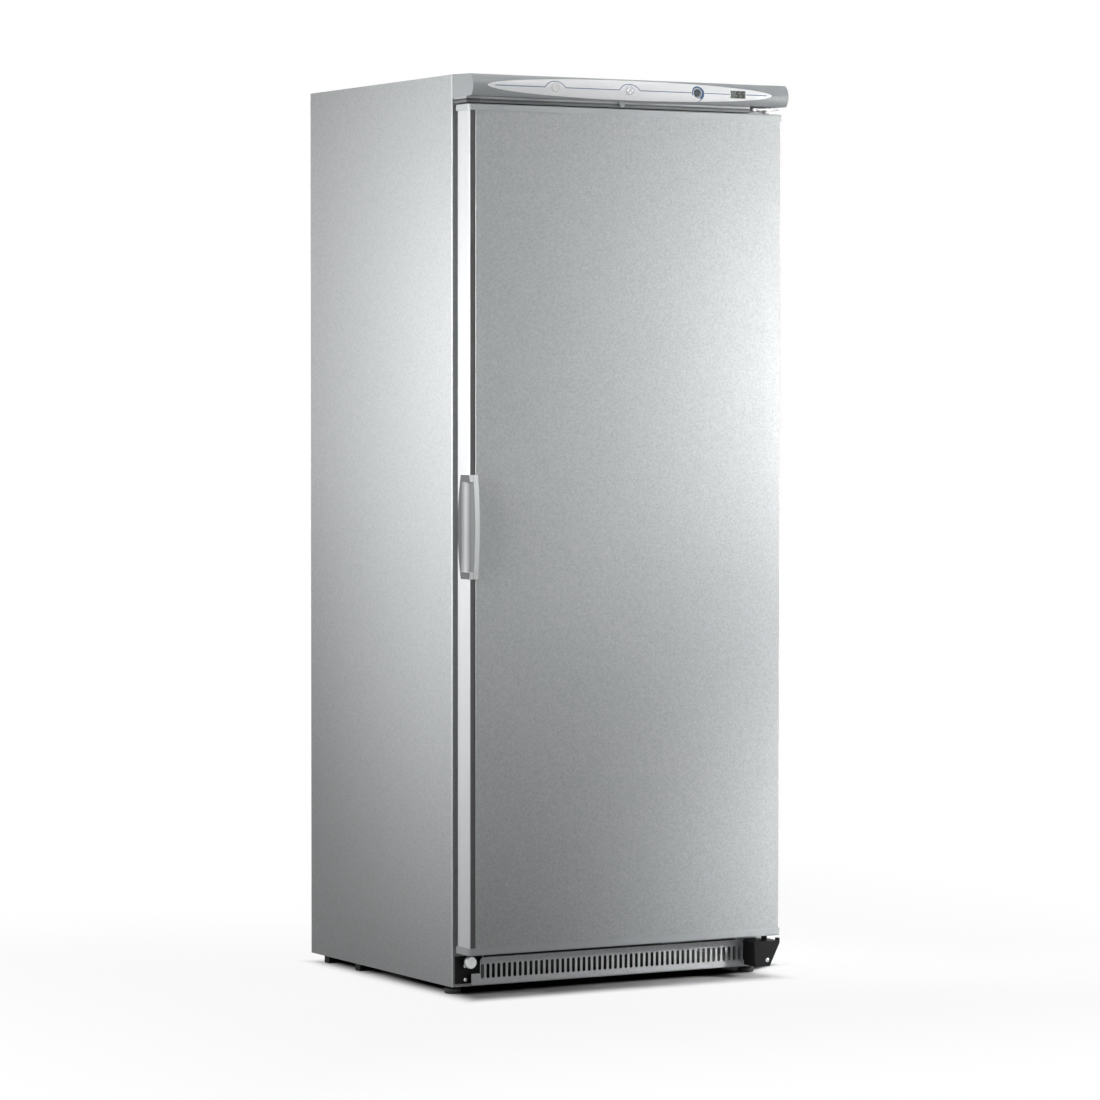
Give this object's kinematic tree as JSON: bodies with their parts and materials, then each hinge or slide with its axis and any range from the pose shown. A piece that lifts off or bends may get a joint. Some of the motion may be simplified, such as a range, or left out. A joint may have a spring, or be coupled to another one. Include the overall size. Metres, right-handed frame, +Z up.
{
  "type": "commercial refrigerator",
  "caption": "Upright single-door commercial refrigerator with recessed edge handle, curved control housing, lock, wire shelves and a rear compressor bay.",
  "frame": {"origin": "middle of the object's box on the floor, under the cabinet", "axes": "+X to the right as one faces the door, +Y from the door to the back, +Z up"},
  "size_m": [0.744, 0.74, 1.865],
  "materials": {
    "body_paint": "satin silver-grey lacquer",
    "door_paint": "satin silver-grey lacquer",
    "profile_alu": "bright anodised",
    "black_strip": "matt",
    "grey_plastic": "satin moulded",
    "light_plastic": "satin moulded",
    "black_plastic": "fine texture",
    "white_plastic": "smooth",
    "label_print": "printed",
    "blue_plastic": "gloss",
    "display_window": "gloss",
    "galvanised": "zinc plated",
    "black_steel": "black powder coat",
    "zinc_bright": "bright plated",
    "liner_white": "vacuum formed",
    "foam": "rigid foam",
    "gasket_rubber": "soft extruded",
    "shelf_coat": "plastic coated wire",
    "condenser_coat": "black enamel",
    "evaporator_alu": "plain rolled",
    "copper": "drawn copper",
    "compressor_black": "black enamel",
    "mount_rubber": "soft",
    "foot_plastic": "moulded"
  },
  "bodies": {
    "cabinet": {"left_side_panel": "body_paint", "right_side_panel": "body_paint", "top_panel": "body_paint", "back_panel": "galvanised", "base_panel": "galvanised", "front_frame": "body_paint", "inner_liner": "liner_white", "insulation": "foam", "shelf_pilasters": "zinc_bright", "shelf_clips": "zinc_bright", "evaporator": "evaporator_alu", "condenser_tube": "condenser_coat", "condenser_wires": "condenser_coat", "fan_shroud": "white_plastic", "compressor_tray": "galvanised", "skid_rails": "black_steel", "compressor": "compressor_black", "compressor_mounts": "mount_rubber", "terminal_cover": "black_plastic", "copper_pipes": "copper", "filter_drier": "copper", "melt_tray": "black_plastic", "drain_tube": "white_plastic", "terminal_box": "black_plastic", "base_frame": "body_paint", "grille": "body_paint", "spare_hinge_plate": "black_steel", "spare_hinge_cap": "light_plastic", "bottom_hinge_bracket": "black_steel", "hinge_cover": "black_plastic", "top_hinge_bracket": "zinc_bright", "screws": "zinc_bright", "control_housing": "grey_plastic", "label_panel": "label_print", "control_chassis": "galvanised", "control_switches": "white_plastic", "display_unit": "display_window", "lock_barrel": "zinc_bright", "bolt_guide": "grey_plastic", "lower_trim": "grey_plastic"},
    "door": {"door_skin": "door_paint", "door_edge_profile": "profile_alu", "door_edge_strip": "black_strip", "door_top_cap": "grey_plastic", "door_bottom_cap": "grey_plastic", "door_handle": "light_plastic", "hinge_bushes": "white_plastic", "door_liner": "liner_white", "door_foam": "foam", "door_gasket": "gasket_rubber"},
    "wire_shelf_1": {"wire_shelf_1": "shelf_coat"},
    "wire_shelf_2": {"wire_shelf_2": "shelf_coat"},
    "wire_shelf_3": {"wire_shelf_3": "shelf_coat"},
    "fan": {"fan_blade": "black_plastic"},
    "power_button": {"power_button": "white_plastic"},
    "thermostat": {"thermostat_knob": "blue_plastic"},
    "lock_plug": {"lock_plug": "zinc_bright"},
    "lock_bolt": {"lock_bolt": "zinc_bright"},
    "foot_left": {"front_foot_left": "foot_plastic"},
    "foot_right": {"front_foot_right": "foot_plastic"}
  },
  "joints": [
    {"name": "door_hinge", "type": "hinge", "parent": "cabinet", "child": "door", "pos_m": [0.3475, -0.319, 0.9455], "axis": [0, 0, 1], "range_deg": [0, 110]},
    {"name": "lock_turn", "type": "hinge", "parent": "cabinet", "child": "lock_plug", "pos_m": [-0.01, -0.345, 1.84], "axis": [0, 1, 0], "range_deg": [0, 90]},
    {"name": "lock_bolt_slide", "type": "slide", "parent": "cabinet", "child": "lock_bolt", "axis": [0, 0, -1], "range_m": [0, 0.009]},
    {"name": "power_button_press", "type": "slide", "parent": "cabinet", "child": "power_button", "axis": [0, 1, 0], "range_m": [0, 0.0025], "stiffness_N_per_m": 300},
    {"name": "thermostat_turn", "type": "hinge", "parent": "cabinet", "child": "thermostat", "pos_m": [0.151, -0.35, 1.84], "axis": [0, 1, 0], "range_deg": [0, 270]},
    {"name": "fan_spin", "type": "hinge", "parent": "cabinet", "child": "fan", "pos_m": [0, 0.18, 1.71], "axis": [0, 0, 1], "continuous": true},
    {"name": "foot_left_adjust", "type": "slide", "parent": "cabinet", "child": "foot_left", "axis": [0, 0, -1], "range_m": [0, 0.015]},
    {"name": "foot_right_adjust", "type": "slide", "parent": "cabinet", "child": "foot_right", "axis": [0, 0, -1], "range_m": [0, 0.015]},
    {"name": "wire_shelf_1_slide", "type": "slide", "parent": "cabinet", "child": "wire_shelf_1", "axis": [0, -1, 0], "range_m": [0, 0.045]},
    {"name": "wire_shelf_2_slide", "type": "slide", "parent": "cabinet", "child": "wire_shelf_2", "axis": [0, -1, 0], "range_m": [0, 0.045]},
    {"name": "wire_shelf_3_slide", "type": "slide", "parent": "cabinet", "child": "wire_shelf_3", "axis": [0, -1, 0], "range_m": [0, 0.045]}
  ],
  "couplings": [
    {"joint": "lock_turn", "follows": "lock_bolt_slide", "rad_per_m": 174.5}
  ]
}
